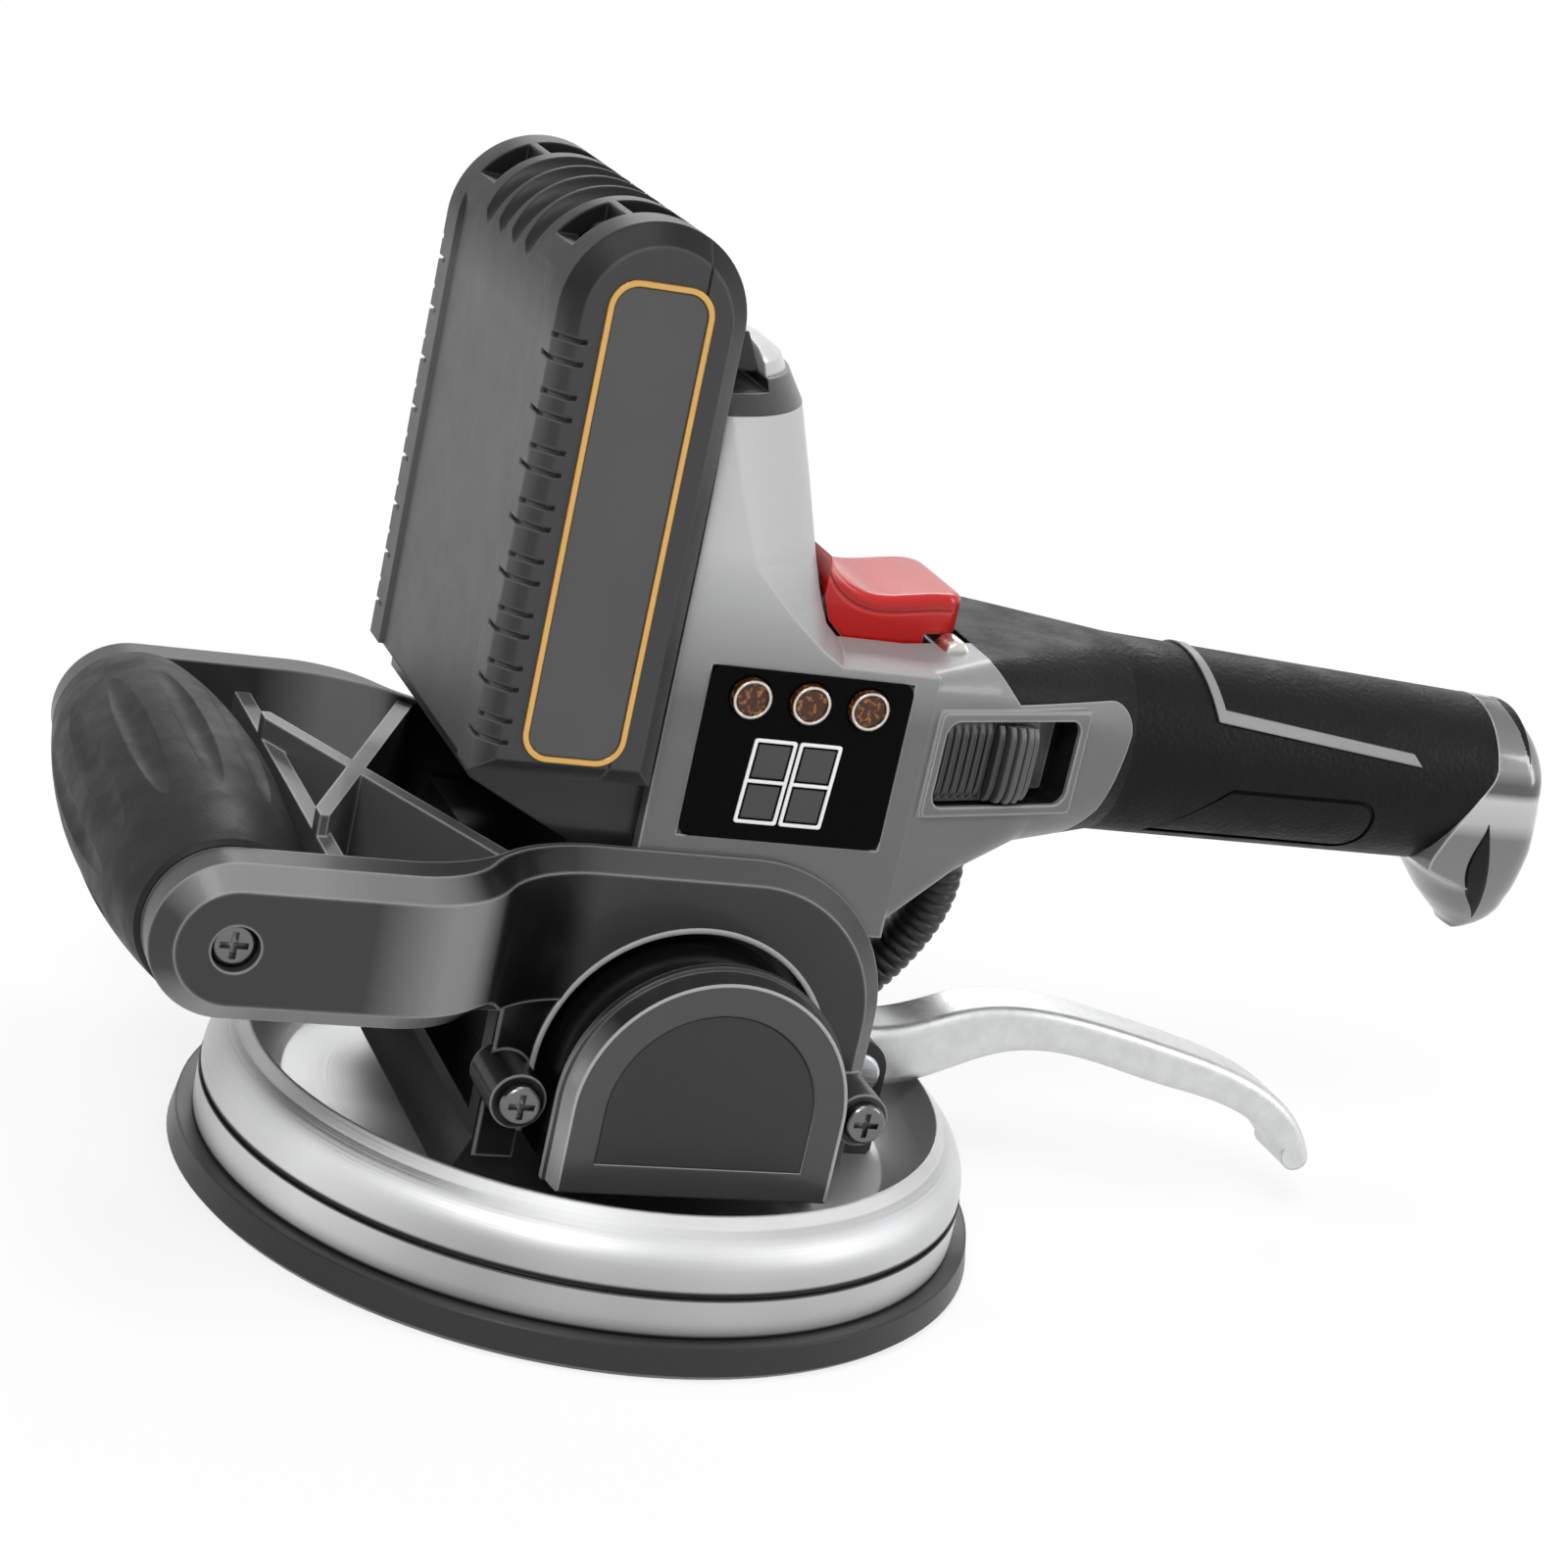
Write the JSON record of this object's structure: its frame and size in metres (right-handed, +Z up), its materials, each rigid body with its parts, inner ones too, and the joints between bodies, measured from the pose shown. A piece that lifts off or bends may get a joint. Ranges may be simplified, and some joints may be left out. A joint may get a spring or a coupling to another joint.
{
  "type": "floor tile suction lifter",
  "caption": "Battery-powered suction lifter for floor tiles: round cup, vibration motor between side frames, barrel front grip, pistol-like rear handle, release lever.",
  "frame": {"origin": "centre of the suction pad's underside, on the tile", "axes": "+Z up from the tile, +X towards the rear handle, -Y the side with the display and switch"},
  "size_m": [0.2915, 0.152, 0.1871],
  "materials": {
    "pad_rubber": "moulded black rubber, slightly glossy",
    "cup_metal": "turned and brushed",
    "base_plastic": "black moulded",
    "frame_plastic": "gunmetal, polished edges",
    "screw_steel": "bright",
    "brace_plastic": "grey moulded",
    "tunnel_plastic": "black glossy",
    "cap_plastic": "dark grey satin",
    "cap_field": "charcoal matte",
    "motor_steel": "drawn steel",
    "shaft_steel": "ground",
    "core_steel": "laminated",
    "weight_steel": "sintered",
    "grip_rubber": "dark grey, matte",
    "grip_steel": "tube",
    "housing_plastic": "mid grey satin",
    "dome_plastic": "bright silver",
    "handle_rubber": "fine leather grain",
    "trim_grey": "grey line",
    "end_plastic": "polished grey",
    "panel_gloss": "black, glossy",
    "digit_white": "white segments",
    "button_amber": "amber with white rim",
    "board_green": "solder mask",
    "pump_black": "moulded",
    "switch_black": "ribbed",
    "trigger_red": "red, glossy",
    "battery_grey": "grey face, black ends",
    "battery_black": "black, slightly glossy",
    "battery_gold": "gold line",
    "cell_wrap": "shrink wrap",
    "dock_black": "black moulded",
    "lever_metal": "cast, satin",
    "bracket_black": "black",
    "valve_brass": "turned",
    "hose_rubber": "corrugated"
  },
  "bodies": {
    "base": {"suction_pad": "pad_rubber", "cup_dish": "cup_metal", "base_frame": "base_plastic", "side_frame_left": "frame_plastic", "side_frame_right": "frame_plastic", "frame_screws": "screw_steel", "cross_brace": "brace_plastic", "vibrator_case": "tunnel_plastic", "end_cap_left": "cap_plastic", "end_cap_right": "cap_plastic", "cap_panel_left": "cap_field", "cap_panel_right": "cap_field", "motor_can": "motor_steel", "motor_bearings": "shaft_steel", "grip_core": "grip_steel", "grip_sleeve": "grip_rubber", "arm_screws": "screw_steel", "housing_left": "housing_plastic", "housing_right": "housing_plastic", "tower_cap": "dome_plastic", "tower_collar": "dock_black", "handle_sleeve": "handle_rubber", "handle_trim": "trim_grey", "handle_end_cap": "end_plastic", "display_panel": "panel_gloss", "display_digits": "digit_white", "button_board": "board_green", "vacuum_pump": "pump_black", "paddle_hinge_pin": "shaft_steel", "paddle_pin": "screw_steel", "battery_dock": "dock_black", "battery_foot": "dock_black", "lever_bracket": "bracket_black", "lever_pin": "shaft_steel", "vacuum_hose": "hose_rubber", "hose_fittings": "pump_black"},
    "rotor": {"motor_shaft": "shaft_steel", "rotor_core": "core_steel", "eccentric_weight_left": "weight_steel", "eccentric_weight_right": "weight_steel"},
    "battery": {"battery_case_front": "battery_grey", "battery_case_rear": "battery_black", "battery_trim_left": "battery_gold", "battery_trim_right": "battery_gold", "battery_cells": "cell_wrap"},
    "latch": {"battery_latch": "dock_black"},
    "lever": {"lever": "lever_metal"},
    "plunger": {"release_plunger": "valve_brass"},
    "paddle": {"paddle_trigger": "trigger_red"},
    "speed_switch": {"switch_slider": "switch_black"},
    "button_1": {"panel_button_1": "button_amber"},
    "button_2": {"panel_button_2": "button_amber"},
    "button_3": {"panel_button_3": "button_amber"}
  },
  "joints": [
    {"name": "vibration_rotor", "type": "hinge", "parent": "base", "child": "rotor", "pos_m": [0.0015, 0, 0.0395], "axis": [0, 1, 0], "continuous": true},
    {"name": "battery_slide", "type": "slide", "parent": "base", "child": "battery", "axis": [0, 0, 1], "range_m": [0, 0.1]},
    {"name": "latch_press", "type": "slide", "parent": "battery", "child": "latch", "axis": [0, 0, -1], "range_m": [0, 0.0015], "stiffness_N_per_m": 600, "springref_m": -0.0005},
    {"name": "lever_hinge", "type": "hinge", "parent": "base", "child": "lever", "pos_m": [0.0465, 0, 0.031], "axis": [0, -1, 0], "range_deg": [0, 22]},
    {"name": "plunger_slide", "type": "slide", "parent": "base", "child": "plunger", "axis": [0, 0, -1], "range_m": [0, 0.0032]},
    {"name": "paddle_hinge", "type": "hinge", "parent": "base", "child": "paddle", "pos_m": [0.0235, 0, 0.1125], "axis": [0, 1, 0], "range_deg": [0, 6], "stiffness_Nm_per_rad": 1.5, "springref_deg": -114.59},
    {"name": "switch_slide", "type": "slide", "parent": "base", "child": "speed_switch", "axis": [0.9621, 0.2726, 0], "range_m": [0, 0.007]},
    {"name": "button_press_1", "type": "slide", "parent": "base", "child": "button_1", "axis": [0, 1, 0], "range_m": [0, 0.0008], "stiffness_N_per_m": 400, "springref_m": -0.0004},
    {"name": "button_press_2", "type": "slide", "parent": "base", "child": "button_2", "axis": [0, 1, 0], "range_m": [0, 0.0008], "stiffness_N_per_m": 400, "springref_m": -0.0004},
    {"name": "button_press_3", "type": "slide", "parent": "base", "child": "button_3", "axis": [0, 1, 0], "range_m": [0, 0.0008], "stiffness_N_per_m": 400, "springref_m": -0.0004}
  ],
  "couplings": [
    {"joint": "plunger_slide", "follows": "lever_hinge", "m_per_rad": 0.0083}
  ]
}
